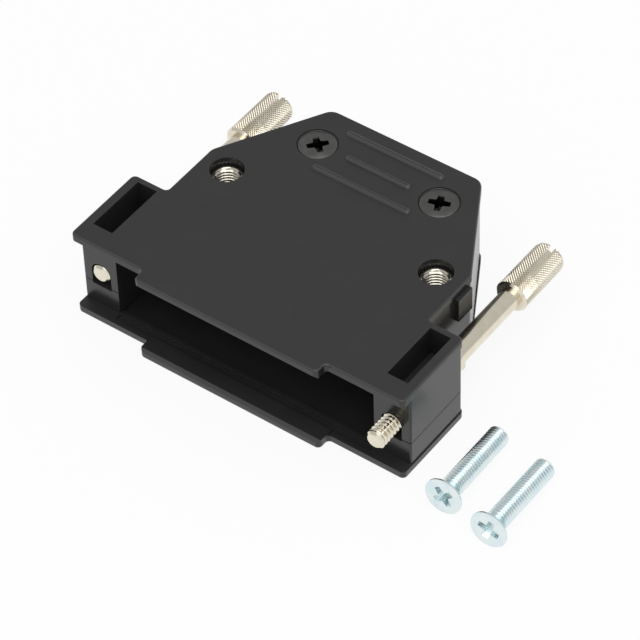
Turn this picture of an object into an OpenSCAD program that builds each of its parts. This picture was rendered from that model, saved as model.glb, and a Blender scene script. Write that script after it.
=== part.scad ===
// Hood for a 25-way D-subminiature cable connector: two moulded shells that clamp the cable,
// with two captive, knurled jackscrews in the ears.
// +X runs across the ears, +Y towards the cable and +Z up. The origin is on the bottom face,
// in the plane of symmetry, level with the face that the connector's flange seats against.

/* [Shells] */
// Height over both shells
hood_height = 14.6; // [13.4:0.1:18]
// Height of the parting line over the bottom face
parting_height = 5.2; // [4.8:0.1:5.8]
// Thickness of the top and bottom plates inside the walls
plate_thickness = 1; // [0.9:0.05:1.2]
// Height of the rim round each plate
rim_height = 1.2; // [1.2:0.05:1.5]
// Thickness of the side, bevel and back walls
wall = 1.3; // [1:0.05:1.6]
// How far each plate stands out over the walls under it
plate_overhang = 0.15; // [0.05:0.05:0.3]
// Radius of the plates' outer edges
edge_radius = 0.3; // [0.2:0.05:0.6]
// Width of the body over its straight sides
body_width = 42.2; // [41:0.1:43.4]
// Distance from the flange seat to the start of the bevels
straight_length = 21.6; // [20.6:0.1:24]
// Distance from the flange seat to the back edge
body_length = 37; // [35.8:0.1:42]
// Width of the back edge between the bevels
back_width = 24.5; // [22:0.1:27]
// Corner radius of the body in plan
corner_radius = 1.9; // [1.7:0.1:2.6]

/* [Mouth] */
// Clear width between the ears
mouth_width = 41.6; // [40.6:0.1:42]
// How far the plates reach in front of the flange seat
plate_reach = 1.8; // [1.2:0.1:2.6]
// How far the lips reach in front of the plates
lip_reach = 1.95; // [1:0.05:3]
// Width of the lips
lip_width = 29.4; // [24:0.1:34]
// Extra height of the lips over the rim
lip_step = 0.25; // [0.1:0.05:0.6]
// Length of the thickened part of a lip
lip_land = 2.75; // [1.4:0.05:2.8]
// Depth of the ridge that stands behind the flange on each plate
seat_ridge = 0.7; // [0.5:0.1:1.2]
// Height of that ridge over the plate
seat_ridge_height = 0.45; // [0.25:0.05:0.8]
// Corner radius of the lips
lip_corner = 0.7; // [0.65:0.05:1.2]
// Lead-in chamfer on the lips
lip_chamfer = 0.4; // [0.1:0.05:0.4]

/* [Ears] */
// Width across both ears, over the plates
ear_span = 53.4; // [52.4:0.1:56]
// Depth of an ear behind the flange seat
ear_depth = 11.65; // [10.6:0.05:13]
// Wall left at the sides and front of an ear's coring pocket
ear_wall = 1.28; // [1:0.02:1.5]
// Wall left at the back of an ear's coring pocket
pocket_back_wall = 0.8; // [0.7:0.1:1.4]
// Depth of the coring pocket in the upper ear
upper_pocket_depth = 4.6; // [3:0.1:4.8]
// Depth of the coring pocket in the lower ear
lower_pocket_depth = 3.2; // [2:0.1:3.4]
// Thickness of the ear's back wall, which the jackscrew's neck turns in
neck_wall = 1.45; // [1.2:0.05:2]
// Corner radius of the plates at the ears' front
ear_front_corner = 0.7; // [0.65:0.05:1.2]
// Corner radius of the plates at the ears' back
ear_back_corner = 0.8; // [0.65:0.05:1.4]
// Depth of the flat step under the thread in the lower ear
slot_step = 0.4; // [0.2:0.05:0.6]

/* [Side lugs] */
// Distance of the side lugs behind the flange seat
lug_y = 17.8; // [14:0.1:18.2]
// Length of a side lug
lug_length = 3.1; // [2:0.1:3.3]
// Height of a side lug
lug_height = 3.8; // [2:0.1:5]
// Gap between a side lug and the plate above it
lug_drop = 1.3; // [1.3:0.1:3]
// How far a side lug stands out from the wall
lug_reach = 0.75; // [0.3:0.05:1.2]

/* [Grip ribs] */
// Width of a grip rib
rib_width = 1.2; // [0.9:0.05:1.5]
// Height of a grip rib over the top plate
rib_height = 0.4; // [0.2:0.05:0.44]
// Distance between the middles of neighbouring ribs
rib_pitch = 3.92; // [3:0.02:4.4]
// Distance of the last rib from the back edge
rib_margin = 2.65; // [2:0.05:4]
// Length of the two outer ribs
long_rib = 16; // [10:0.1:17]
// Length of the middle rib, between the screws
short_rib = 10.7; // [8:0.1:12]

/* [Closing screws] */
// Radius of the M3 thread
screw_radius = 1.5; // [1.4:0.05:1.55]
// Overall length of a screw
screw_length = 14; // [13.5:0.1:14.2]
// Radius of the countersunk head
screw_head = 2.7; // [2.5:0.05:2.8]
// Thickness of the head's rim
screw_rim = 0.25; // [0.15:0.05:0.4]
// Width of the arms of the cross recess
recess_width = 0.7; // [0.5:0.05:0.8]
// Depth of the cross recess
recess_depth = 1.5; // [1:0.1:1.6]
// Angles at which the left and right rear screws came to rest
rear_screw_angles = [49, 21];
// Chamfer on the screw's tip
screw_tip = 0.35; // [0.2:0.05:0.5]
// Depth of the heads below the face
head_sink = 0.1; // [0.1:0.05:0.3]
// Gap round the head's rim
head_gap = 0.18; // [0.1:0.02:0.3]
// Gap between the cone of a seated head and its countersink
seat_gap = 0.03; // [0.02:0.01:0.05]
// Radius of the clearance holes
clearance_hole = 1.7; // [1.65:0.05:1.8]
// Radius of the screw bosses inside the shells
boss_radius = 3.3; // [3.1:0.1:3.6]
// Distance of the front screws from the middle
front_screw_x = 16.94; // [16:0.02:17.4]
// Distance of the front screws behind the flange seat
front_screw_y = 19.5; // [18:0.1:20.5]
// Distance of the rear screws from the middle
rear_screw_x = 9.92; // [9.6:0.02:10.6]
// Distance of the rear screws behind the flange seat
rear_screw_y = 30.4; // [29.8:0.1:31]

/* [Inserts] */
// Radius over an insert's knurl
insert_radius = 2.3; // [2.1:0.05:2.35]
// Length of an insert
insert_length = 4; // [3:0.1:4.1]
// Gap between an insert and its hole
insert_gap = 0.07; // [0.03:0.01:0.1]
// Radius at the mouth of an insert's thread
insert_mouth = 1.85; // [1.7:0.05:2]
// Gap between a closing screw and an insert's thread
thread_gap = 0.04; // [0.02:0.01:0.08]
// Depth of the front inserts below the top face
insert_sink = 1.3; // [0.6:0.1:2]
// Depth of the rear inserts below the parting line
lower_insert_sink = 0.8; // [0.5:0.1:1]
// Chamfer on the outer edges of an insert
insert_chamfer = 0.2; // [0.1:0.05:0.3]

/* [Jackscrews] */
// Distance between the two jackscrews
jack_spacing = 47.04; // [46.8:0.02:47.4]
// Radius of the 4-40 UNC thread
jack_thread = 1.42; // [1.3:0.01:1.5]
// Chamfer at both ends of the thread
jack_chamfer = 0.35; // [0.2:0.05:0.5]
// Radius of the slot that the thread passes
thread_slot = 1.6; // [1.55:0.01:1.65]
// Travel of a jackscrew in its ear
jack_travel = 3.5; // [2:0.1:5]
// How far the tip reaches in front of the flange seat when it is pushed home
jack_reach = 3.76; // [3:0.02:6]
// Radius of the neck
neck_radius = 1.1; // [0.9:0.05:1.2]
// Running gap round the neck
neck_gap = 0.08; // [0.05:0.01:0.1]
// Gap left at each end stop
stop_gap = 0.05; // [0.02:0.01:0.1]
// Radius of the collar on the neck
collar_radius = 2; // [1.7:0.05:2.4]
// Length of the collar
collar_length = 2.2; // [1.5:0.1:3]
// Chamfer on the collar's outer edges
collar_chamfer = 0.2; // [0.1:0.05:0.3]
// Running gap between collar and neck
collar_gap = 0.05; // [0.03:0.01:0.09]
// Radius of the shaft
shaft_radius = 1.5; // [1.4:0.05:1.7]
// Length of the shaft
shaft_length = 13.1; // [8:0.1:20]
// Radius of the knob
knob_radius = 2.4; // [2:0.05:3.2]
// Length of the knob
knob_length = 9.4; // [7:0.1:12]
// Length of the plain chamfer at the front of the knob
knob_nose = 0.6; // [0.3:0.05:1]
// Depth of that chamfer
knob_nose_depth = 0.45; // [0.2:0.05:0.5]
// Radius of the rounded edge at the back of the knob
knob_round = 0.5; // [0.2:0.05:0.6]
// Width of the screwdriver slot
driver_slot = 0.8; // [0.5:0.05:1]
// Depth of the screwdriver slot
driver_depth = 1.1; // [0.6:0.1:1.6]
// Angle of the left knob's slot from the vertical
left_slot_angle = -8; // [-90:1:90]
// Angle of the right knob's slot from the vertical
right_slot_angle = -14; // [-90:1:90]

/* [Cable entry] */
// Radius of the cable entry
cable_radius = 5.5; // [4:0.1:5.6]
// Distance of the channel's front end from the back edge
channel_length = 9.8; // [9:0.1:11]
// Width of the channel block between the rear screws
channel_width = 15; // [14:0.1:16]
// Radius that the clamp saddles grip
grip_radius = 4; // [2.5:0.1:4.4]
// Depth of the grooves between the saddles' teeth
tooth_depth = 0.5; // [0.2:0.05:0.8]
// Width of a clamp saddle
saddle_width = 12.2; // [11.4:0.1:12.6]
// Length of a clamp saddle along the cable
saddle_length = 5; // [4:0.1:6]
// Distance between the clamp saddles and the back edge
saddle_margin = 3.9; // [2:0.1:4]
// Gap round a clamp saddle in its pocket
saddle_gap = 0.1; // [0.05:0.01:0.2]

/* [Loose screws] */
// Places of the two loose screws' heads on the bench
loose_heads = [[33.7, -3.2], [41.5, -4.5]];
// Headings of the two loose screws, from +Y towards -X
loose_headings = [2.6, 1.9];
// Angles at which the two loose screws lie, turned about themselves
loose_angles = [50.5, 16];

/* [Hidden] */
$fn = 48;

black_plastic = [0.10, 0.10, 0.11];
nickel = [0.78, 0.76, 0.70];
brass = [0.72, 0.66, 0.48];
black_steel = [0.16, 0.16, 0.17];
zinc = [0.74, 0.80, 0.84];

eps = 0.01;
overcut = 1;
arc_steps = 5;
edge_steps = 3;
plan_fillet = 0.6;
seat_fillet = 0.3;
land_margin = 0.05;
face_skim = 0.02;
groove_height = 0.12;
groove_depth = 0.22;
tooth_spaces = 5;

screw_axis_z = hood_height / 2;
ceiling = hood_height - plate_thickness;
lip_front = -plate_reach - lip_reach;
lip_height = rim_height + lip_step;
wall_ear_x = ear_span / 2 - plate_overhang;
wall_body_x = body_width / 2 - plate_overhang;
wall_back_x = back_width / 2 - plate_overhang;
wall_length = body_length - plate_overhang;
wall_ear_y = ear_depth;
ear_middle = (mouth_width / 2 + wall_ear_x) / 2;
jack_x = jack_spacing / 2;
thread_room = wall_ear_y - neck_wall;
neck_slot = neck_radius + neck_gap;
shoulder_at = wall_ear_y + 2 * stop_gap + collar_length + jack_reach;
thread_length = thread_room - stop_gap + jack_reach - jack_travel;
knob_at = shoulder_at + shaft_length;
jack_length = knob_at + knob_length;
insert_hole = insert_radius + insert_gap;
lower_insert_top = parting_height - lower_insert_sink;
saddle_back = body_length - saddle_margin;

// ---- outlines with rounded corners, each given as [x, y, radius] in anticlockwise order ----

function unit(v) = v / norm(v);
function flat2(c) = [c[0], c[1]];
function mirror_corners(half) =
    concat(half, [for (i = [len(half) - 1:-1:0]) [-half[i][0], half[i][1], half[i][2]]]);

// Points of one rounded corner, with the whole outline moved inwards by inset
function corner_arc(a, b, c, r, inset) =
    let (u = unit(a - b),
         v = unit(c - b),
         half = acos(u * v) / 2,
         middle = b + unit(u + v) * r / sin(half),
         from = b + u * r / tan(half) - middle,
         to = b + v * r / tan(half) - middle,
         start = atan2(from[1], from[0]),
         turned = atan2(to[1], to[0]) - start,
         sweep = turned > 180 ? turned - 360 : turned < -180 ? turned + 360 : turned,
         radius = sweep > 0 ? r - inset : r + inset)
    [for (i = [0:arc_steps])
        middle + radius * [cos(start + sweep * i / arc_steps), sin(start + sweep * i / arc_steps)]];

function rounded(corners, inset = 0) =
    let (n = len(corners))
    [for (i = [0:n - 1])
        each corner_arc(flat2(corners[(i + n - 1) % n]), flat2(corners[i]),
                        flat2(corners[(i + 1) % n]), corners[i][2], inset)];

plate_outline = mirror_corners([
    [lip_width / 2, lip_front, lip_corner],
    [lip_width / 2, -plate_reach, plan_fillet],
    [ear_span / 2, -plate_reach, ear_front_corner],
    [ear_span / 2, ear_depth + plate_overhang, ear_back_corner],
    [body_width / 2, ear_depth + plate_overhang, plan_fillet],
    [body_width / 2, straight_length, corner_radius],
    [back_width / 2, body_length, corner_radius]]);

wall_outline = mirror_corners([
    [wall_ear_x, 0, seat_fillet],
    [wall_ear_x, wall_ear_y, ear_back_corner - plate_overhang],
    [wall_body_x, wall_ear_y, plan_fillet],
    [wall_body_x, straight_length, corner_radius - plate_overhang],
    [wall_back_x, wall_length, corner_radius - plate_overhang]]);

// The body alone, carried forward to the lip's land, so that its inset is the wiring space
body_outline = mirror_corners([
    [wall_body_x, lip_front + lip_land - wall, corner_radius],
    [wall_body_x, straight_length, corner_radius],
    [wall_back_x, wall_length, corner_radius]]);

// Flat plate with a round over its top edge, as one skin of outlines
module round_edged_plate(corners, thickness, edge) {
    levels = concat([[0, 0]], [for (i = [0:edge_steps])
        [edge * (1 - cos(90 * i / edge_steps)),
         thickness - edge + edge * sin(90 * i / edge_steps)]]);
    rings = [for (level = levels) [for (p = rounded(corners, level[0])) [p[0], p[1], level[1]]]];
    n = len(rings[0]);
    sides = [for (k = [0:len(rings) - 2], i = [0:n - 1])
        [k * n + i, (k + 1) * n + i, (k + 1) * n + (i + 1) % n, k * n + (i + 1) % n]];
    top = [for (i = [n - 1:-1:0]) (len(rings) - 1) * n + i];
    polyhedron([for (ring = rings) each ring], concat([[for (i = [0:n - 1]) i]], [top], sides));
}

// ---- forms shared by the two shells; z runs from a shell's face to the parting line ----

module at_both_sides() {
    for (side = [0, 1]) mirror([side, 0, 0]) children();
}

module at_front_screws() {
    at_both_sides() translate([front_screw_x, front_screw_y, 0]) children();
}

module at_rear_screws() {
    at_both_sides() translate([rear_screw_x, rear_screw_y, 0]) children();
}

module cavity_profile() {
    polygon(rounded(body_outline, wall));
    translate([-mouth_width / 2, lip_front + lip_land])
        square([mouth_width, thread_room - lip_front - lip_land]);
}

// Everything above one level, from one side of the hood to the other and back from a line
module above(level, from) {
    translate([-ear_span, from, level]) cube([2 * ear_span, 2 * body_length, hood_height]);
}

// Plate with its rim and its lip, cut from a thicker blank and hollowed between the walls
module plate() {
    blank = lip_height + overcut;
    difference() {
        translate([0, 0, blank]) mirror([0, 0, 1])
            round_edged_plate(plate_outline, blank + face_skim, edge_radius);
        above(-hood_height, lip_front - overcut);
        above(lip_height, lip_front - overcut);
        above(rim_height, lip_front + lip_land);
        at_both_sides() translate([ear_span + lip_width / 2 + land_margin, 0, 0])
            above(rim_height, lip_front - overcut);
        translate([0, lip_front, lip_height]) rotate([45, 0, 0])
            translate([-lip_width, -2 * lip_chamfer, -lip_chamfer / sqrt(2)])
                cube([2 * lip_width, 4 * lip_chamfer, 2 * lip_chamfer]);
        translate([0, 0, plate_thickness]) linear_extrude(rim_height) cavity_profile();
    }
}

module walls(depth) {
    translate([0, 0, rim_height - eps]) linear_extrude(depth - rim_height + eps) difference() {
        polygon(rounded(wall_outline));
        cavity_profile();
    }
}

// Ridge that the connector's flange rests against
module flange_ridge() {
    translate([-mouth_width / 2, 0, plate_thickness - eps])
        cube([mouth_width, seat_ridge, seat_ridge_height + eps]);
}

module bosses(depth) {
    height = depth - plate_thickness + eps;
    translate([0, 0, plate_thickness - eps]) {
        at_front_screws() cylinder(r = boss_radius, h = height);
        at_rear_screws() cylinder(r = boss_radius, h = height);
    }
}

// Cable channel behind the wiring space, cut out later for the cable and the saddles
module channel_block(depth) {
    translate([-channel_width / 2, body_length - channel_length, plate_thickness - eps])
        cube([channel_width, channel_length - wall, depth - plate_thickness + eps]);
}

module half_shell(depth) {
    plate();
    walls(depth);
    flange_ridge();
    bosses(depth);
    channel_block(depth);
}

module cable_hole() {
    translate([0, body_length - channel_length - overcut, screw_axis_z]) rotate([-90, 0, 0])
        cylinder(r = cable_radius, h = channel_length + 2 * overcut);
}

module saddle_pocket() {
    translate([-saddle_width / 2 - saddle_gap, saddle_back - saddle_length - saddle_gap,
               plate_thickness])
        cube([saddle_width + 2 * saddle_gap, saddle_length + 2 * saddle_gap,
              ceiling - plate_thickness]);
}

// Countersunk hole; z runs from the face into the shell
module countersunk_hole(depth) {
    rim = screw_head + head_gap;
    cone_top = head_sink + screw_rim - head_gap + seat_gap;
    translate([0, 0, -overcut]) cylinder(r = clearance_hole, h = depth + overcut);
    translate([0, 0, -overcut]) cylinder(r = rim, h = cone_top + overcut);
    translate([0, 0, cone_top])
        cylinder(r1 = rim, r2 = clearance_hole, h = rim - clearance_hole);
}

module ear_pocket(depth) {
    width = wall_ear_x - mouth_width / 2 - 2 * ear_wall;
    translate([ear_middle - width / 2, ear_wall, -overcut])
        cube([width, wall_ear_y - ear_wall - pocket_back_wall, depth + overcut]);
}

module along_jackscrew(from) {
    translate([jack_x, from, screw_axis_z]) rotate([-90, 0, 0]) children();
}

// ---- the pieces ----

module grip_rib(length) {
    radius = rib_width / 2;
    straight = length - rib_width;
    translate([-straight / 2, 0, hood_height + rib_height - radius]) rotate([0, 90, 0]) {
        cylinder(r = radius, h = straight);
        sphere(r = radius);
        translate([0, 0, straight]) sphere(r = radius);
    }
}

module side_lug() {
    translate([wall_body_x - wall / 2, lug_y, hood_height - lug_drop - lug_height])
        cube([wall / 2 + lug_reach, lug_length, lug_height]);
}

// Straight-sided slot that lets a round hole open downwards at the parting line
module open_below(half_width, length) {
    translate([-half_width, 0, parting_height - overcut])
        cube([2 * half_width, length, screw_axis_z - parting_height + overcut]);
}

module upper_shell() {
    color(black_plastic) difference() {
        union() {
            translate([0, 0, hood_height]) mirror([0, 0, 1])
                half_shell(hood_height - parting_height);
            at_both_sides() side_lug();
            for (i = [0:2]) translate([0, body_length - rib_margin - i * rib_pitch, 0])
                grip_rib(i == 1 ? short_rib : long_rib);
        }
        cable_hole();
        translate([0, body_length - channel_length - overcut, 0])
            open_below(cable_radius, channel_length + 2 * overcut);
        saddle_pocket();
        at_front_screws() {
            translate([0, 0, parting_height - overcut])
                cylinder(r = clearance_hole, h = hood_height);
            translate([0, 0, hood_height - insert_sink - insert_length])
                cylinder(r = insert_hole, h = hood_height);
        }
        at_rear_screws() translate([0, 0, hood_height]) mirror([0, 0, 1])
            countersunk_hole(hood_height);
        at_both_sides() {
            translate([0, 0, hood_height]) mirror([0, 0, 1]) ear_pocket(upper_pocket_depth);
            along_jackscrew(-overcut) cylinder(r = thread_slot, h = thread_room + overcut);
            along_jackscrew(0) cylinder(r = neck_slot, h = wall_ear_y + overcut);
            translate([jack_x, -overcut, 0]) open_below(thread_slot, thread_room + overcut);
            translate([jack_x, 0, 0]) open_below(neck_slot, wall_ear_y + overcut);
        }
    }
}

module lower_shell() {
    color(black_plastic) difference() {
        union() {
            half_shell(parting_height);
            at_both_sides() translate([jack_x - neck_radius, thread_room + stop_gap,
                                       parting_height - eps])
                cube([2 * neck_radius, neck_wall - 2 * stop_gap,
                      screw_axis_z - neck_slot - parting_height + eps]);
        }
        cable_hole();
        saddle_pocket();
        at_rear_screws() translate([0, 0, -overcut]) {
            cylinder(r = clearance_hole, h = hood_height);
            cylinder(r = insert_hole, h = lower_insert_top + overcut);
        }
        at_front_screws() countersunk_hole(hood_height);
        at_both_sides() {
            ear_pocket(lower_pocket_depth);
            translate([jack_x - thread_slot, -overcut, parting_height - slot_step])
                cube([2 * thread_slot, thread_room + overcut, slot_step + overcut]);
        }
        // Fine groove round the outside that marks the parting line
        translate([0, 0, parting_height - groove_height]) linear_extrude(groove_height + overcut)
            difference() {
                polygon(rounded(wall_outline, -groove_depth));
                polygon(rounded(wall_outline, groove_depth));
                translate([-mouth_width / 2, -2 * overcut]) square([mouth_width, 4 * overcut]);
            }
    }
}

// Saddle that presses the cable from above or below; z runs from its seat to the cable
module clamp_saddle(height) {
    axis_height = screw_axis_z - plate_thickness;
    translate([0, saddle_back, 0]) difference() {
        translate([-saddle_width / 2, -saddle_length, 0])
            cube([saddle_width, saddle_length, height]);
        translate([0, overcut, axis_height]) rotate([90, 0, 0])
            cylinder(r = grip_radius, h = saddle_length + 2 * overcut);
        for (i = [1, 3]) translate([0, -i * saddle_length / tooth_spaces, axis_height])
            rotate([90, 0, 0])
                cylinder(r = grip_radius + tooth_depth, h = saddle_length / tooth_spaces);
    }
}

module cable_clamp_lower() {
    color(black_plastic) translate([0, 0, plate_thickness])
        clamp_saddle(parting_height - plate_thickness);
}

module cable_clamp_upper() {
    color(black_plastic) translate([0, 0, ceiling]) mirror([0, 0, 1])
        clamp_saddle(parting_height - plate_thickness);
}

// Threaded insert, standing on z = 0
module insert() {
    color(brass) rotate_extrude() polygon([
        [screw_radius + thread_gap, 0],
        [insert_radius - insert_chamfer, 0],
        [insert_radius, insert_chamfer],
        [insert_radius, insert_length - insert_chamfer],
        [insert_radius - insert_chamfer, insert_length],
        [insert_mouth, insert_length],
        [screw_radius + thread_gap, insert_length - insert_mouth + screw_radius + thread_gap]]);
}

// Countersunk cross-recessed screw; the head's face is at z = 0 and the tip points to +z
module closing_screw(finish, angle) {
    neck = screw_rim + screw_head - screw_radius;
    color(finish) difference() {
        rotate_extrude() polygon([
            [0, 0], [screw_head, 0], [screw_head, screw_rim], [screw_radius, neck],
            [screw_radius, screw_length - screw_tip], [screw_radius - screw_tip, screw_length],
            [0, screw_length]]);
        intersection() {
            translate([0, 0, -eps])
                cylinder(r1 = screw_radius, r2 = screw_radius / 3, h = recess_depth);
            for (a = [0, 90]) rotate([0, 0, angle + a])
                cube([3 * screw_radius, recess_width, 3 * recess_depth], center = true);
        }
    }
}

module cover_screw(side, angle) {
    translate([side * rear_screw_x, rear_screw_y, hood_height - head_sink]) mirror([0, 0, 1])
        closing_screw(black_steel, angle);
}

// Loose screw, lying on its head's rim and the edge of its tip
module loose_screw(place, heading, angle) {
    tilt = asin((screw_head - screw_radius) / norm([screw_length, screw_head - screw_radius]));
    translate([place[0], place[1], screw_head * cos(tilt)])
        rotate([0, 0, heading]) rotate([-90 - tilt, 0, 0]) closing_screw(zinc, angle);
}

// Jackscrew with its tip at the origin, pointing along +y
module jackscrew(slot_angle) {
    color(nickel) rotate([-90, 0, 0]) difference() {
        rotate_extrude() polygon([
            [0, 0], [jack_thread - jack_chamfer, 0], [jack_thread, jack_chamfer],
            [jack_thread, thread_length - jack_chamfer], [neck_radius, thread_length],
            [neck_radius, shoulder_at], [shaft_radius, shoulder_at],
            [shaft_radius, knob_at], [knob_radius - knob_nose_depth, knob_at],
            [knob_radius, knob_at + knob_nose],
            for (a = [0, 30, 60, 90]) [knob_radius - knob_round * (1 - cos(a)),
                                       jack_length - knob_round * (1 - sin(a))],
            [0, jack_length]]);
        rotate([0, 0, 90 - slot_angle]) translate([0, 0, jack_length])
            cube([3 * knob_radius, driver_slot, 2 * driver_depth], center = true);
    }
}

module thumbscrew_left() {
    translate([-jack_x, jack_travel - jack_reach, screw_axis_z]) jackscrew(left_slot_angle);
}

module thumbscrew_right() {
    translate([jack_x, -jack_reach, screw_axis_z]) jackscrew(right_slot_angle);
}

// Collar on the neck, between the ear's back wall and the shaft's shoulder
module collar(side, slid) {
    color(nickel) translate([side * jack_x, wall_ear_y + stop_gap + slid, screw_axis_z])
        rotate([-90, 0, 0]) rotate_extrude() polygon([
            [neck_radius + collar_gap, 0],
            [collar_radius - collar_chamfer, 0], [collar_radius, collar_chamfer],
            [collar_radius, collar_length - collar_chamfer],
            [collar_radius - collar_chamfer, collar_length],
            [neck_radius + collar_gap, collar_length]]);
}

module front_insert(side) {
    translate([side * front_screw_x, front_screw_y, hood_height - insert_sink - insert_length])
        insert();
}

module rear_insert(side) {
    translate([side * rear_screw_x, rear_screw_y, lower_insert_top]) mirror([0, 0, 1]) insert();
}

upper_shell();
lower_shell();
cable_clamp_upper();
cable_clamp_lower();
front_insert(-1);  // insert_left
front_insert(1);  // insert_right
rear_insert(-1);  // lower_insert_left
rear_insert(1);  // lower_insert_right
cover_screw(-1, rear_screw_angles[0]);  // cover_screw_left
cover_screw(1, rear_screw_angles[1]);  // cover_screw_right
thumbscrew_left();
thumbscrew_right();
collar(-1, jack_travel);  // collar_left
collar(1, 0);  // collar_right
loose_screw(loose_heads[0], loose_headings[0], loose_angles[0]);  // closing_screw_1
loose_screw(loose_heads[1], loose_headings[1], loose_angles[1]);  // closing_screw_2
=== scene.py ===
# Hood for a 25-way D-subminiature cable connector: two black mouldings that clamp the cable, two
# captive knurled jackscrews in the ears, and the two closing screws that are still to be driven.
# Sizes are in millimetres, but those of the table and the lamps are in metres.

import math
import bmesh
import bpy
import numpy as np
from mathutils import Matrix, Quaternion, Vector


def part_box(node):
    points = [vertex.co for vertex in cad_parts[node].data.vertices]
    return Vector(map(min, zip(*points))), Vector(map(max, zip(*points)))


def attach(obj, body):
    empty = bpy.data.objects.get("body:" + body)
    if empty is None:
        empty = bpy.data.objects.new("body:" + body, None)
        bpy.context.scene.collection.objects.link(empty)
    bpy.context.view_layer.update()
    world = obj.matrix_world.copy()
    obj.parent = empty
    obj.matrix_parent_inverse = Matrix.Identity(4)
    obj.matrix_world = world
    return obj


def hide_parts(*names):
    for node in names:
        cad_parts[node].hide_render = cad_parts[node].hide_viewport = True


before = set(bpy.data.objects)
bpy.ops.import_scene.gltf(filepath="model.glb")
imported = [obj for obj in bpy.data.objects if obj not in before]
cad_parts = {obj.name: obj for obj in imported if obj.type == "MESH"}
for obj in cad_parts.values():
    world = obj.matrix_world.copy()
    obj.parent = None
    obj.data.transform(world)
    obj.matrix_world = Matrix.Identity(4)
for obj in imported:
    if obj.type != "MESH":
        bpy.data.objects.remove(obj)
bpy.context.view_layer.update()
mm = 0.001


# ---- The table and the light ----
# A white table top under a wide, soft light, as in a small light tent. The table and the air round
# it look white to the eye and in reflections, and the table still takes the hood's soft shadow.

class Value:
    """A shader socket that takes part in sums."""

    def __init__(self, graph, socket):
        self.graph = graph
        self.socket = socket

    def __add__(self, other):
        return self.graph.maths("ADD", self, other)

    def __radd__(self, other):
        return self.graph.maths("ADD", other, self)

    def __sub__(self, other):
        return self.graph.maths("SUBTRACT", self, other)

    def __rsub__(self, other):
        return self.graph.maths("SUBTRACT", other, self)

    def __mul__(self, other):
        return self.graph.maths("MULTIPLY", self, other)

    def __rmul__(self, other):
        return self.graph.maths("MULTIPLY", other, self)

    def __abs__(self):
        return self.graph.maths("ABSOLUTE", self)


class Graph:
    """The node tree of one material or of the world."""

    def __init__(self, owner):
        owner.use_nodes = True
        self.tree = owner.node_tree
        self.tree.nodes.clear()

    def node(self, kind, settings=None, inputs=None, output=0):
        """Adds a node, with its settings first and then its sockets, and gives one output."""
        made = self.tree.nodes.new(kind)
        for name, value in (settings or {}).items():
            setattr(made, name, value)
        pairs = inputs.items() if isinstance(inputs, dict) else enumerate(inputs or ())
        for name, value in pairs:
            if isinstance(value, Value):
                self.tree.links.new(value.socket, made.inputs[name])
            else:
                made.inputs[name].default_value = value
        return Value(self, made.outputs[output]) if made.outputs else None

    def maths(self, operation, *terms):
        """One sum on sockets and numbers."""
        return self.node("ShaderNodeMath", {"operation": operation}, terms)

    def mix(self, factor, first, second):
        """Blends two colours by a factor; they are the node's sockets 6 and 7."""
        settings = {"data_type": "RGBA"}
        return self.node("ShaderNodeMix", settings, {0: factor, 6: first, 7: second}, output=2)

    def noise(self, place, scale, detail, roughness=0.5):
        """Cloudy noise from 0 to 1, with its scale in patches to the millimetre."""
        inputs = {"Vector": place, "Scale": scale, "Detail": detail, "Roughness": roughness}
        return self.node("ShaderNodeTexNoise", None, inputs)

    def ramp(self, value, low, high):
        """Rises smoothly from 0 at low to 1 at high."""
        settings = {"interpolation_type": "SMOOTHSTEP"}
        inputs = {"Value": value, "From Min": low, "From Max": high}
        return self.node("ShaderNodeMapRange", settings, inputs)

    def place(self, stretch=(1, 1, 1)):
        """Where on the piece, in millimetres, stretched along its axes."""
        where = self.node("ShaderNodeTexCoord", output="Object")
        scale = tuple(along / mm for along in stretch)
        return self.node("ShaderNodeVectorMath", {"operation": "MULTIPLY"}, (where, scale))

    def upward(self, vector):
        """How far a vector points up."""
        return self.node("ShaderNodeSeparateXYZ", None, (vector,), output="Z")

    def bump(self, height, depth, strength, normal=None):
        """Relief of a depth in millimetres, laid on a normal where one is given."""
        inputs = {"Height": height, "Distance": depth * mm, "Strength": strength}
        if normal is not None:
            inputs["Normal"] = normal
        return self.node("ShaderNodeBump", None, inputs)

    def seen(self):
        """1 for what the eye, a mirror or a lens sees, and 0 for what only lights the object."""
        eye, mirror, lens = (self.node("ShaderNodeLightPath", output=f"Is {ray} Ray")
                             for ray in ("Camera", "Glossy", "Transmission"))
        return self.maths("MAXIMUM", self.maths("MAXIMUM", eye, mirror), lens)

    def finish(self, surface, kind="ShaderNodeOutputMaterial"):
        """Makes a shader the one that shows."""
        self.node(kind, None, (surface,))


white = (1, 1, 1, 1)
room_light = 0.62
room_air = bpy.data.worlds.new("room_air")
room = Graph(room_air)
room.finish(room.node("ShaderNodeBackground", None, {"Color": white, "Strength": room_light}),
            "ShaderNodeOutputWorld")
bpy.context.scene.world = room_air


def new_piece(name, points, faces, material):
    """A piece in one material, from its points in metres and its faces."""
    mesh = bpy.data.meshes.new(name)
    mesh.from_pydata(points, [], faces)
    mesh.materials.append(material)
    piece = bpy.data.objects.new(name, mesh)
    bpy.context.collection.objects.link(piece)
    return piece


table_half = 2.0
table_colour = (0.9, 0.9, 0.9, 1)
table_glow = 0.9
table_paint = bpy.data.materials.new("table_paint")
paint = Graph(table_paint)
matt = paint.node("ShaderNodeBsdfDiffuse", None, {"Color": table_colour})
glow = paint.node("ShaderNodeEmission", None, {"Color": white, "Strength": 1.0})
paint.finish(paint.node("ShaderNodeMixShader", None, (table_glow * paint.seen(), matt, glow)))
table_corners = [(x * table_half, y * table_half, 0) for x, y in ((-1, -1), (1, -1), (1, 1), (-1, 1))]
table_top = new_piece("table_top", table_corners, [(0, 1, 2, 3)], table_paint)


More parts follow.
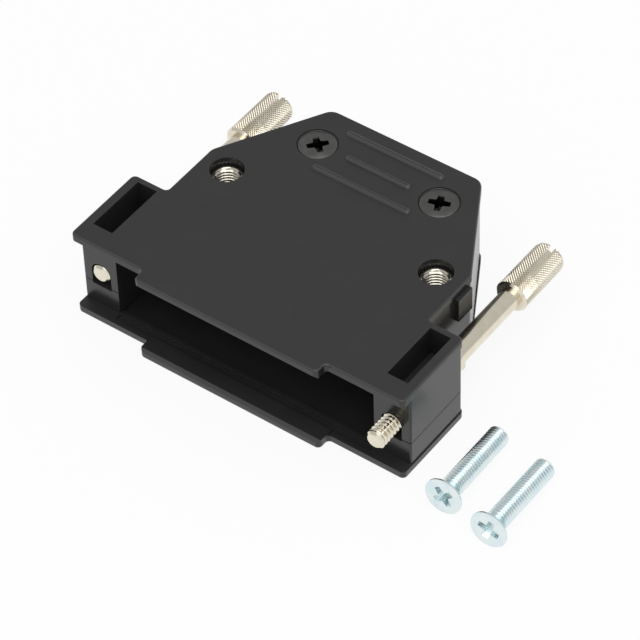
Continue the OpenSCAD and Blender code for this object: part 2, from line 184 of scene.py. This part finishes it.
def soft_lamp(name, place, size, watts):
    """A round, diffused lamp that shines on the middle of the hood."""
    lamp = bpy.data.lights.new(name, "AREA")
    lamp.shape = "DISK"
    lamp.size = size
    lamp.energy = watts
    holder = bpy.data.objects.new(name, lamp)
    holder.location = place
    holder.rotation_mode = "QUATERNION"
    holder.rotation_quaternion = (lit_spot - Vector(place)).to_track_quat("-Z", "Y")
    bpy.context.collection.objects.link(holder)


lit_spot = Vector((0, 0.015, 0))
soft_lamp("lamp_overhead", (0.20, -0.15, 0.70), 0.9, 2.8)
soft_lamp("lamp_front", (0.32, -0.60, 0.28), 0.9, 0.6)


# ---- The camera ----
# It looks down on the mouth of the hood from the front right, through a long lens, and leans over by
# two degrees.

aim = Vector((1.125, 15.10, 0.108)) * mm
azimuth = math.radians(37.47)
elevation = math.radians(45.96)
roll = math.radians(-2.05)
distance = 491.28 * mm
back = Vector((math.sin(azimuth) * math.cos(elevation),
               -math.cos(azimuth) * math.cos(elevation), math.sin(elevation)))
camera_data = bpy.data.cameras.new("camera")
camera_data.lens = 207.2
camera_data.sensor_width = 36
camera_data.clip_start = 0.01
camera = bpy.data.objects.new("camera", camera_data)
camera.location = aim + back * distance
camera.rotation_mode = "QUATERNION"
camera.rotation_quaternion = (-back).to_track_quat("-Z", "Y") @ Quaternion((0, 0, 1), roll)
bpy.context.collection.objects.link(camera)
bpy.context.scene.camera = camera
bpy.context.scene.view_settings.view_transform = "Standard"


# ---- The two shells ----
# Injection-moulded in black, glass-filled nylon. The flat outer faces have a fine spark-eroded
# texture; the walls are smoother, where the mould was only polished. They meet at a parting line.

plastic_colour = (0.0185, 0.0183, 0.0182, 1)
plastic_dust = (0.0215, 0.0213, 0.0212, 1)
# A paler colour painted on the rounded edges and rib sides, as the highlight that they catch.
edge_highlight_colour = (0.052, 0.0515, 0.051, 1)
edge_break = 0.06
texture_depth = 0.010
weld_gap = 0.001
crease = math.radians(33)


def moulded_plastic():
    """Black nylon: dull and grained on the flats, smoother on the walls, with a highlight painted paler on
    the rounded edges.
    """
    material = bpy.data.materials.new("black_plastic")
    graph = Graph(material)
    where = graph.place()
    # The flats face straight up or down, and the rounded edges between them and the walls lean.
    facing = abs(graph.upward(graph.node("ShaderNodeTexCoord", output="Normal")))
    flat = graph.ramp(facing, 0.9, 0.99)
    rounded = (1 - graph.ramp(facing, 0.96, 0.995)) * graph.ramp(facing, 0.35, 0.6)
    mottle = graph.noise(where, 0.22, 3.0)
    grain = graph.noise(where, 5.0, 3.0, 0.65)
    speck = graph.noise(where, 14.0, 1.0)
    dusty = graph.mix(graph.ramp(mottle, 0.35, 0.75), plastic_colour, plastic_dust)
    # Painted highlight: the rounded edges, picked out by how far they lean, are painted paler.
    colour = graph.mix(0.9 * rounded, dusty, edge_highlight_colour)
    gloss = 0.20 + 0.24 * flat + 0.05 * mottle + 0.08 * speck * flat
    broken = graph.node("ShaderNodeBevel", {"samples": 6}, {"Radius": edge_break * mm})
    texture = grain * (0.2 + 0.8 * flat) + 0.3 * speck * flat
    relief = graph.bump(texture, texture_depth, 0.5, broken)
    graph.finish(graph.node("ShaderNodeBsdfPrincipled", None,
                            {"Base Color": colour, "Roughness": gloss, "Normal": relief, "IOR": 1.46}))
    return material


black_plastic = moulded_plastic()


def flats_of(shape):
    """The area of the flat that each face belongs to, so that a flat outweighs the curve beside it."""
    area = {}
    for first in shape.faces:
        if first in area:
            continue
        flat = {first}
        border = [first]
        while border:
            for edge in border.pop().edges:
                for face in edge.link_faces:
                    if face not in flat and face.normal.dot(first.normal) > 0.99999:
                        flat.add(face)
                        border.append(face)
        total = sum(face.calc_area() for face in flat)
        area.update((face, total) for face in flat)
    return area


def soft_normal(face, corner, area):
    """The normal at a corner of a face, taken over the faces that run smoothly into it."""
    fan = {face}
    border = [face]
    while border:
        for edge in border.pop().edges:
            if corner in edge.verts and edge.calc_face_angle(math.pi) < crease:
                new = set(edge.link_faces) - fan
                fan |= new
                border += new
    return sum((area[face] * face.normal for face in fan), Vector()).normalized()


def as_moulded(node, material):
    """A copy of a CAD piece, shaded smooth over its rounded edges and flat on its flats."""
    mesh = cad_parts[node].data.copy()
    shape = bmesh.new()
    shape.from_mesh(mesh)
    bmesh.ops.remove_doubles(shape, verts=shape.verts, dist=weld_gap * mm)
    area = flats_of(shape)
    normals = [soft_normal(face, corner, area) for face in shape.faces for corner in face.verts]
    shape.to_mesh(mesh)
    shape.free()
    mesh.materials.clear()
    mesh.materials.append(material)
    mesh.shade_smooth()
    mesh.normals_split_custom_set(normals)
    piece = bpy.data.objects.new(node + "_moulding", mesh)
    bpy.context.collection.objects.link(piece)
    return piece


for node in ("upper_shell", "lower_shell", "cable_clamp_upper", "cable_clamp_lower"):
    piece = as_moulded(node, black_plastic)
    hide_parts(node)
    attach(piece, "hood")


# ---- The jackscrews ----
# Turned from free-cutting steel and nickel-plated: a 4-40 thread, a thin neck that keeps the screw in
# the ear, a plain shaft, and a knob with a fine diamond knurl and a screwdriver slot in its end.

sharp_arris = math.radians(35)
square_step = 0.001
thread_pitch = 0.635
thread_radius = 1.42
thread_depth = 0.38
thread_length = 10.41
plain_turns = 0.4
neck_radius = 1.1
shaft_radius = 1.5
shoulder = 17.71
shoulder_bevel = 0.1
knob_front = 30.81
knob_bevel = 0.35
knob_bevel_depth = 0.3
knob_dome = 0.5
knob_rounding = 0.15
knurl_starts = 34
knurl_pitch = 0.44
knurl_depth = 0.17
slot_width = 0.8
slot_depth = 1.1
chamfer = 0.35
# A near-black colour painted into what lies below a screw head's face, as the shade in its recess.
recess_shade_colour = (0.012, 0.012, 0.012, 1)


def metal(name, colour, tint, roughness, relief_depth, face=None):
    """A plated metal: a faint cloud of tint in the plating, and fine turning marks round the axis.

    Where the height of a face is given, what lies sunk below it is painted darker, as shade in the
    hollows.
    """
    material = bpy.data.materials.new(name)
    graph = Graph(material)
    cloud = graph.noise(graph.place(), 0.7, 3.0)
    marks = graph.noise(graph.place((1, 14, 1)), 0.9, 2.0)
    shade = graph.mix(graph.ramp(cloud, 0.35, 0.7), colour, tint)
    # Painted shade: below the face the colour runs darker, as if shaded in the recess.
    if face is not None:
        sunk = face - graph.upward(graph.place())
        shade = graph.mix(graph.ramp(sunk, 0.1, 0.35), shade, recess_shade_colour)
    gloss = roughness - 0.04 + 0.09 * marks
    relief = graph.bump(marks, relief_depth, 0.5)
    graph.finish(graph.node("ShaderNodeBsdfPrincipled", None,
                            {"Base Color": shade, "Metallic": 1.0, "Roughness": gloss,
                             "Normal": relief}))
    return material


nickel = metal("nickel", (0.76, 0.70, 0.575, 1), (0.81, 0.76, 0.645, 1), 0.17, 0.002)


def turned(name, rings, sides, radius_at, material):
    """A turned piece along +Z from its ring heights, with the radius given for each height and angle."""
    angles = np.arange(sides) * 2 * math.pi / sides
    heights = np.array(rings)
    radii = radius_at(heights[:, None], angles[None, :]) + np.zeros((len(rings), sides))
    points = np.stack([radii * np.cos(angles), radii * np.sin(angles),
                       np.broadcast_to(heights[:, None], radii.shape)], axis=2).reshape(-1, 3)
    faces = []
    for row in range(len(rings) - 1):
        for i in range(sides):
            j = (i + 1) % sides
            faces.append((row * sides + i, row * sides + j,
                          (row + 1) * sides + j, (row + 1) * sides + i))
    faces.append(tuple(range(sides))[::-1])
    faces.append(tuple((len(rings) - 1) * sides + i for i in range(sides)))
    return new_piece(name, (points * mm).tolist(), faces, material)


def settle(piece, matrix):
    """Puts a turned piece in its place in the hood, with its arrises kept sharp."""
    piece.data.transform(matrix)
    piece.data.shade_smooth()
    piece.data.set_sharp_from_angle(angle=sharp_arris)


def front_to_back(low, high):
    """Turns +Z to run backwards along the middle of a box, from the box's front."""
    front = Vector(((low.x + high.x) / 2, low.y, (low.z + high.z) / 2))
    return Matrix.Translation(front) @ Matrix.Rotation(math.radians(-90), 4, "X")


def cut(piece, shape):
    """Takes a shape out of a piece."""
    mesh = bpy.data.meshes.new("cutter")
    shape.to_mesh(mesh)
    shape.free()
    cutter = bpy.data.objects.new("cutter", mesh)
    bpy.context.collection.objects.link(cutter)
    tool = piece.modifiers.new("cut", "BOOLEAN")
    tool.operation = "DIFFERENCE"
    tool.solver = "EXACT"
    tool.object = cutter
    bpy.context.view_layer.update()
    depsgraph = bpy.context.evaluated_depsgraph_get()
    piece.data = bpy.data.meshes.new_from_object(piece.evaluated_get(depsgraph))
    piece.modifiers.clear()
    bpy.data.objects.remove(cutter)


def screw_form(height, angle, pitch, depth):
    """Depth of a right-hand thread: narrow crests, sloping flanks and a narrow root."""
    phase = (height / pitch - angle / (2 * math.pi)) % 1
    slope = np.abs(2 * phase - 1)
    return depth * np.clip(1.3 * slope - 0.15, 0, 1)


def steps(start, end, step):
    """Evenly spaced heights from start to end, with a step of about the given size."""
    count = max(1, round((end - start) / step))
    return [start + (end - start) * k / count for k in range(count + 1)]


def knurl_form(height, angle):
    """Depth of the diamond knurl, where two sets of spiral grooves cross."""
    around = knurl_starts * angle / (2 * math.pi)
    along = height / knurl_pitch
    one = np.abs(2 * ((around + along) % 1) - 1)
    other = np.abs(2 * ((around - along) % 1) - 1)
    return knurl_depth * (1 - np.minimum(one, other))


def follow(height, outline):
    """The radius at a height on an outline, which is a list of heights with their radii."""
    return np.interp(height, [point[0] for point in outline], [point[1] for point in outline])


def jackscrew(side, slot_angle):
    """One jackscrew in its ear, with heights that run back from the thread's end to the knob's end."""
    low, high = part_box("thumbscrew_" + side)
    knob_radius = (high.x - low.x) / 2 / mm
    length = (high.y - low.y) / mm
    knurl_from = knob_front + knob_bevel
    knurl_to = length - knob_dome
    outline = [(thread_length, neck_radius), (shoulder - square_step, neck_radius),
               (shoulder, shaft_radius - shoulder_bevel), (shoulder + shoulder_bevel, shaft_radius),
               (knob_front - square_step, shaft_radius), (knob_front, knob_radius - knob_bevel_depth),
               (knurl_from, knob_radius), (knurl_to, knob_radius),
               (length - knob_rounding, knob_radius - knob_rounding),
               (length, knob_radius - knob_dome)]

    def radius_at(height, angle):
        crest = np.minimum(thread_radius, thread_radius - chamfer + height)
        crest = np.minimum(crest, neck_radius + np.maximum(thread_length - height, 0))
        run_in = np.clip(height / thread_pitch - plain_turns, 0, 1)
        groove = run_in * screw_form(height, angle, thread_pitch, thread_depth)
        threaded = np.minimum(crest, thread_radius - groove)
        knurled = (height > knurl_from) & (height < knurl_to + 0.2)
        diamond = np.where(knurled, knurl_form(height - knurl_from, angle), 0)
        return np.where(height <= thread_length, threaded, follow(height, outline) - diamond)

    rings = (steps(0, chamfer, 0.06) + steps(chamfer, thread_length, thread_pitch / 10)[1:]
             + [shoulder - square_step, shoulder, shoulder + shoulder_bevel]
             + [knob_front - square_step, knob_front]
             + steps(knurl_from, knurl_to, knurl_pitch / 4)
             + [length - 0.32, length - knob_rounding, length - 0.05, length])
    piece = turned("jackscrew_" + side, rings, knurl_starts * 4, radius_at, nickel)
    slot = bmesh.new()
    bmesh.ops.create_cube(slot, size=1, matrix=Matrix.Translation((0, 0, length * mm))
                          @ Matrix.Rotation(math.radians(slot_angle), 4, "Z")
                          @ Matrix.Diagonal((slot_width * mm, 3 * knob_radius * mm,
                                             2 * slot_depth * mm, 1)))
    cut(piece, slot)
    settle(piece, front_to_back(low, high))
    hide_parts("thumbscrew_" + side)
    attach(piece, side + "_jackscrew")


jackscrew("left", 8)
jackscrew("right", 14)


# ---- The collars ----
# Short nickel-plated tubes that turn freely on the jackscrews' necks, between the ear and the shaft,
# and take the thrust when a jackscrew is tightened.

collar_sides = 96
collar_corner = 0.15
collar_play = 0.05


def tube(name, loops, material):
    """A tube from the closed loop of its section, in radii and heights, at each angle round it."""
    sides = len(loops)
    count = len(loops[0])
    points = []
    faces = []
    for k in range(sides):
        angle = 2 * math.pi * k / sides
        points += [(r * math.cos(angle) * mm, r * math.sin(angle) * mm, h * mm) for r, h in loops[k]]
        ahead = (k + 1) % sides
        for i in range(count):
            j = (i + 1) % count
            faces.append((k * count + j, k * count + i, ahead * count + i, ahead * count + j))
    return new_piece(name, points, faces, material)


def collar(side):
    """A ring with both outer edges rounded off."""
    low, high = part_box("collar_" + side)
    outer = (high.x - low.x) / 2 / mm
    length = (high.y - low.y) / mm
    inner = neck_radius + collar_play
    corner = collar_corner
    section = [(inner, 0), (outer - corner, 0), (outer - corner / 3, corner / 3), (outer, corner),
               (outer, length - corner), (outer - corner / 3, length - corner / 3),
               (outer - corner, length), (inner, length)]
    piece = tube("collar_ring_" + side, [section] * collar_sides, nickel)
    settle(piece, front_to_back(low, high))
    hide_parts("collar_" + side)
    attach(piece, side + "_collar")


collar("left")
collar("right")


# ---- The closing screws ----
# M3 countersunk screws with a cross recess, cold-headed and rolled. The two that are driven from the
# top are blackened; the two that go in from below lie loose beside the hood, bright zinc-plated.

driven_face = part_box("cover_screw_left")[1].z / mm
black_steel = metal("black_steel", (0.115, 0.113, 0.110, 1), (0.135, 0.133, 0.130, 1), 0.34, 0.003,
                    driven_face)
zinc = metal("zinc", (0.80, 0.87, 0.87, 1), (0.71, 0.83, 0.87, 1), 0.25, 0.003)

screw_pitch = 0.5
screw_radius = 1.5
screw_depth = 0.31
screw_length = 14
head_radius = 2.7
screw_sides = 72
tip_chamfer = 0.4
head_rim = 0.25
head_bevel = 0.1
rim_rounding = 0.06
under_head = 0.3


def cross_recess(angle):
    """The tapering, four-armed shape that the punch leaves in the head."""
    flare = 1.06
    mouth = {"half_width": 0.38 * flare, "reach": 1.5 * flare, "height": -0.1}
    foot = {"half_width": 0.30, "reach": 0.8, "height": 1.5}
    point_height = foot["height"] + 0.35
    corner_share = 1.35
    recess = bmesh.new()
    levels = []
    for level in (mouth, foot):
        half_width, reach = level["half_width"], level["reach"]
        corner = half_width * corner_share
        loop = []
        for quarter in range(4):
            turn = Matrix.Rotation(math.radians(90 * quarter + angle), 3, "Z")
            for x, y in ((reach, -half_width), (reach, half_width), (corner, corner)):
                loop.append(recess.verts.new((turn @ Vector((x, y, level["height"]))) * mm))
        levels.append(loop)
    upper, lower = levels
    point = recess.verts.new(Vector((0, 0, point_height)) * mm)
    for i in range(len(upper)):
        j = (i + 1) % len(upper)
        recess.faces.new((upper[i], upper[j], lower[j], lower[i]))
        recess.faces.new((lower[i], lower[j], point))
    recess.faces.new(upper[::-1])
    bmesh.ops.recalc_face_normals(recess, faces=recess.faces)
    return recess


def closing_screw(name, finish, recess_angle):
    """A screw with its head's face at the origin and its tip towards +Z."""
    neck = head_rim + head_radius - screw_radius
    thread_from = neck + under_head
    head = [(0, head_radius - head_bevel), (rim_rounding, head_radius), (head_rim, head_radius),
            (head_rim + 0.04, head_radius - rim_rounding), (neck, screw_radius - 0.02),
            (thread_from, screw_radius - 0.14)]

    def radius_at(height, angle):
        crest = np.minimum(screw_radius, screw_radius - tip_chamfer + np.maximum(screw_length - height, 0))
        groove = screw_form(height, angle, screw_pitch, screw_depth)
        rolled = np.minimum(crest, screw_radius - groove)
        return np.where(height < thread_from, follow(height, head), rolled)

    rings = ([0, rim_rounding, head_rim, head_rim + 0.04] + steps(head_rim + 0.1, neck, 0.2)
             + [neck + 0.15, thread_from - square_step]
             + steps(thread_from, screw_length, screw_pitch / 10))
    piece = turned(name, rings, screw_sides, radius_at, finish)
    cut(piece, cross_recess(recess_angle))
    return piece


for side, recess_angle in (("left", -49), ("right", -21)):
    low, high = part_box("cover_screw_" + side)
    piece = closing_screw("cover_screw_black_" + side, black_steel, recess_angle)
    face = Vector(((low.x + high.x) / 2, (low.y + high.y) / 2, high.z))
    settle(piece, Matrix.Translation(face) @ Matrix.Rotation(math.pi, 4, "X"))
    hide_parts("cover_screw_" + side)
    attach(piece, "hood")

for number, heading, recess_angle in ((1, 2.6, 50.5), (2, 1.9, 16)):
    node = f"closing_screw_{number}"
    low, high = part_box(node)
    piece = closing_screw(f"loose_screw_{number}", zinc, recess_angle)
    lean = math.atan2(head_radius - screw_radius, screw_length)
    piece.data.transform(Matrix.Rotation(math.radians(heading), 4, "Z")
                         @ Matrix.Rotation(math.radians(-90) - lean, 4, "X"))
    corner = Vector([min(v.co[k] for v in piece.data.vertices) for k in range(3)])
    settle(piece, Matrix.Translation(Vector((low.x, low.y, low.z)) - corner))
    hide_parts(node)
    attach(piece, "hood")


# ---- The threaded inserts ----
# Knurled, nickel-plated brass bushes with an M3 thread, pressed into the bosses. The front two look
# out of the upper face, and the rear two take the black screws from below.

insert_metal = metal("insert_metal", (0.62, 0.59, 0.51, 1), (0.52, 0.49, 0.42, 1), 0.11, 0.002)


insert_sides = 128
insert_teeth = 32
tooth_depth = 0.2
insert_bevel = 0.15
thread_play = 0.04
insert_bore = screw_radius + thread_play
insert_mouth = 1.85


def insert(node, mouth_up):
    """A bush with straight knurls outside and a thread inside that opens out at its mouth."""
    low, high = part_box(node)
    outer = (high.x - low.x) / 2 / mm
    length = (high.z - low.z) / mm
    loops = []
    for k in range(insert_sides):
        angle = 2 * math.pi * k / insert_sides
        tooth = tooth_depth * abs(2 * ((insert_teeth * k / insert_sides) % 1) - 1)
        loop = []
        for height in (0, insert_bevel, length - insert_bevel, length):
            bevel = max(insert_bevel - min(height, length - height), 0)
            loop.append((outer - bevel - tooth, height))
        for height in steps(0, length, screw_pitch / 10)[::-1]:
            radius = insert_bore + float(screw_form(height, angle, screw_pitch, screw_depth))
            loop.append((max(radius, insert_mouth - (length - height)), height))
        loops.append(loop)
    piece = tube(node + "_bush", loops, insert_metal)
    end = Vector(((low.x + high.x) / 2, (low.y + high.y) / 2, low.z if mouth_up else high.z))
    turn = Matrix.Identity(4) if mouth_up else Matrix.Rotation(math.pi, 4, "X")
    settle(piece, Matrix.Translation(end) @ turn)
    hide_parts(node)
    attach(piece, "hood")


for side in ("left", "right"):
    insert("insert_" + side, True)
    insert("lower_insert_" + side, False)
